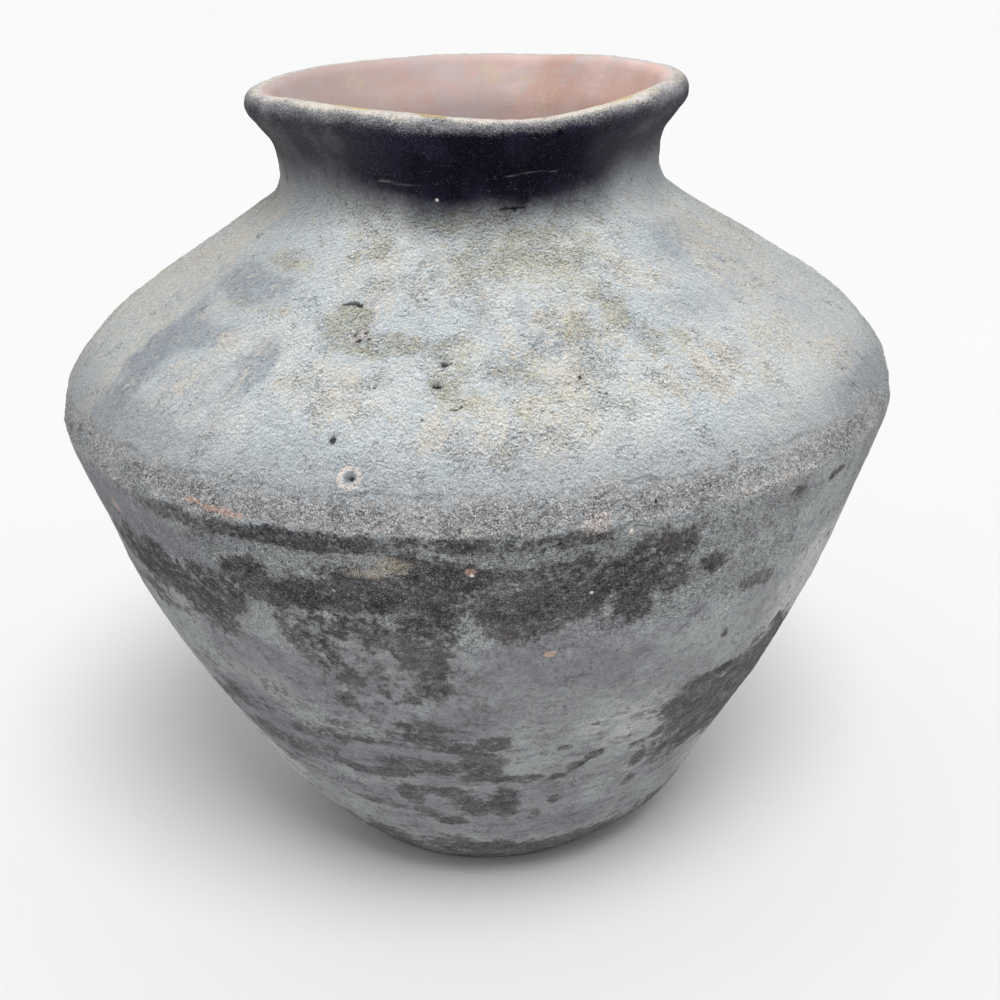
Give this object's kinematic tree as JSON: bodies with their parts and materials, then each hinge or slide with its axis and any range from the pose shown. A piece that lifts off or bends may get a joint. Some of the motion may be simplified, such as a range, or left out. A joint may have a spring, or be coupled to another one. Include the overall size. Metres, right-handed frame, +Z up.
{
  "type": "clay water jar",
  "caption": "Hand-built smoked clay jar with a sharp shoulder ridge, a tapering lower body, a short neck and a thick everted lip; rests on its flat base.",
  "frame": {"origin": "centre of the flat resting face on the underside of the base pad", "axes": "+Z up along the pot's axis of turning, out of the mouth; -Y towards the side shown as the front; +X to the right of that side"},
  "size_m": [0.3486, 0.3486, 0.332],
  "materials": {
    "smoked_clay": "unglazed, smoke-blackened and weathered to blue-grey, sandy and matt outside; dusty pink inside",
    "worn_rim_clay": "unglazed, rubbed sandy cream along the crest, matt",
    "lime": "chalky white, rough"
  },
  "bodies": {
    "root": {"base_pad": "smoked_clay", "lower_course_1": "smoked_clay", "lower_course_2": "smoked_clay", "lower_course_3": "smoked_clay", "lower_course_4": "smoked_clay", "lower_course_5": "smoked_clay", "ridge_coil": "smoked_clay", "shoulder_course_1": "smoked_clay", "shoulder_course_2": "smoked_clay", "shoulder_course_3": "smoked_clay", "shoulder_course_4": "smoked_clay", "neck_collar": "smoked_clay", "rim_coil": "worn_rim_clay", "lime_grains": "lime"}
  },
  "joints": []
}
